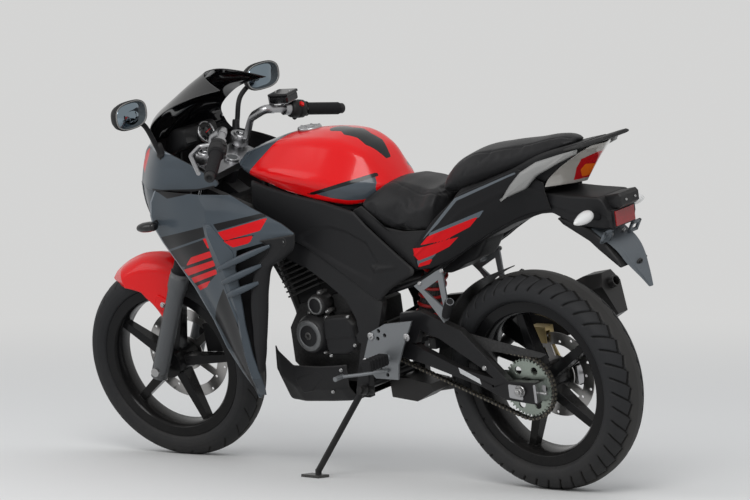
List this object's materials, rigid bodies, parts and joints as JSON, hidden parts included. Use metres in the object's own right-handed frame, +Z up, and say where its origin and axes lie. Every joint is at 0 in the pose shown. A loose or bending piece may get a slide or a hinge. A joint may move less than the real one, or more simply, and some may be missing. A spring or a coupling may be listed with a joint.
{
  "type": "sport bike",
  "caption": "Fully faired sport bike parked on its side stand, with clip-on bars, stepped seat, chain drive, turning wheels, steering and a folding side stand.",
  "frame": {"origin": "middle of the bounding box, on the ground", "axes": "+X forward, +Y to the rider's left, +Z up; the bike leans to its left on its stand"},
  "size_m": [2.0534, 0.7438, 1.1844],
  "materials": {
    "slate_panel": "glossy moulded panel in slate blue grey",
    "red_panel": "glossy red moulding",
    "red_tank": "red paint on pressed steel with grey front and side fields",
    "black_panel": "black fine grained plastic",
    "frame_black": "satin black paint on steel",
    "engine_black": "black coated castings",
    "grey_alloy": "grey coated aluminium",
    "bare_alloy": "satin bare aluminium",
    "wheel_black": "gloss black cast aluminium",
    "tyre": "road tyre rubber",
    "disc_steel": "turned stainless steel",
    "axle_steel": "plated steel",
    "chain_steel": "oiled chain steel",
    "zinc_steel": "yellow green zinc plating",
    "gold_zinc": "gold zinc plating",
    "fork_chrome": "hard chrome on steel",
    "pipe_steel": "black coated steel pipe",
    "seat_cover": "black grained seat cover",
    "smoked_screen": "dark smoked clear plastic",
    "lamp_glass": "clear lens over red and orange fields",
    "signal_lens": "clear signal lens",
    "grip_rubber": "ribbed rubber"
  },
  "bodies": {
    "chassis": {"main_frame": "frame_black", "subframe": "frame_black", "swingarm": "frame_black", "rear_axle": "axle_steel", "drive_chain": "chain_steel", "engine_case": "engine_black", "engine_cylinder": "engine_black", "engine_covers": "engine_black", "exhaust_pipe": "pipe_steel", "muffler": "pipe_steel", "belly_pan": "black_panel", "fuel_tank": "red_tank", "tank_cap": "bare_alloy", "rider_seat": "seat_cover", "pillion_seat": "seat_cover", "tail_cowls": "black_panel", "grab_rail": "bare_alloy", "tail_lamp": "lamp_glass", "undertail": "black_panel", "plate_holder": "black_panel", "rear_signals": "signal_lens", "upper_cowl": "slate_panel", "headlamp": "lamp_glass", "windscreen": "smoked_screen", "dash": "black_panel", "mirrors": "black_panel", "front_signals": "signal_lens", "side_fairings": "slate_panel", "fairing_fins": "slate_panel", "fairing_trims": "black_panel", "frame_covers": "black_panel", "footrests": "bare_alloy", "pillion_footrests": "bare_alloy", "rear_hugger": "black_panel", "chain_guard": "black_panel", "shock_absorber": "red_panel", "rear_caliper": "gold_zinc"},
    "steering_assembly": {"bottom_yoke": "grey_alloy", "top_yoke": "bare_alloy", "fork_tubes": "fork_chrome", "fork_sliders": "grey_alloy", "front_axle": "axle_steel", "handlebars": "bare_alloy", "grips": "grip_rubber", "switchgear": "black_panel", "hand_levers": "bare_alloy", "front_fender": "red_panel", "front_caliper": "gold_zinc"},
    "front_wheel": {"front_tyre": "tyre", "front_rim": "wheel_black", "front_disc": "disc_steel"},
    "rear_wheel": {"rear_tyre": "tyre", "rear_rim": "wheel_black", "rear_disc": "disc_steel", "rear_sprocket": "zinc_steel"},
    "side_stand_leg": {"side_stand": "frame_black"}
  },
  "joints": [
    {"name": "steering", "type": "hinge", "parent": "chassis", "child": "steering_assembly", "pos_m": [0.47642, -0.04539, 0.74299], "axis": [-0.4213, 0.1839, 0.8881], "range_deg": [-39.3, 20.7]},
    {"name": "front_wheel_spin", "type": "hinge", "parent": "steering_assembly", "child": "front_wheel", "pos_m": [0.73446, -0.13332, 0.28729], "axis": [-0.1466, 0.9525, -0.2668], "continuous": true},
    {"name": "rear_wheel_spin", "type": "hinge", "parent": "chassis", "child": "rear_wheel", "pos_m": [-0.63506, -0.13723, 0.29948], "axis": [0, 0.9792, -0.2028], "continuous": true},
    {"name": "side_stand_fold", "type": "hinge", "parent": "chassis", "child": "side_stand_leg", "pos_m": [-0.10709, 0.00899, 0.25108], "axis": [0.0336, 0.9952, 0.0917], "range_deg": [0, 110]}
  ]
}
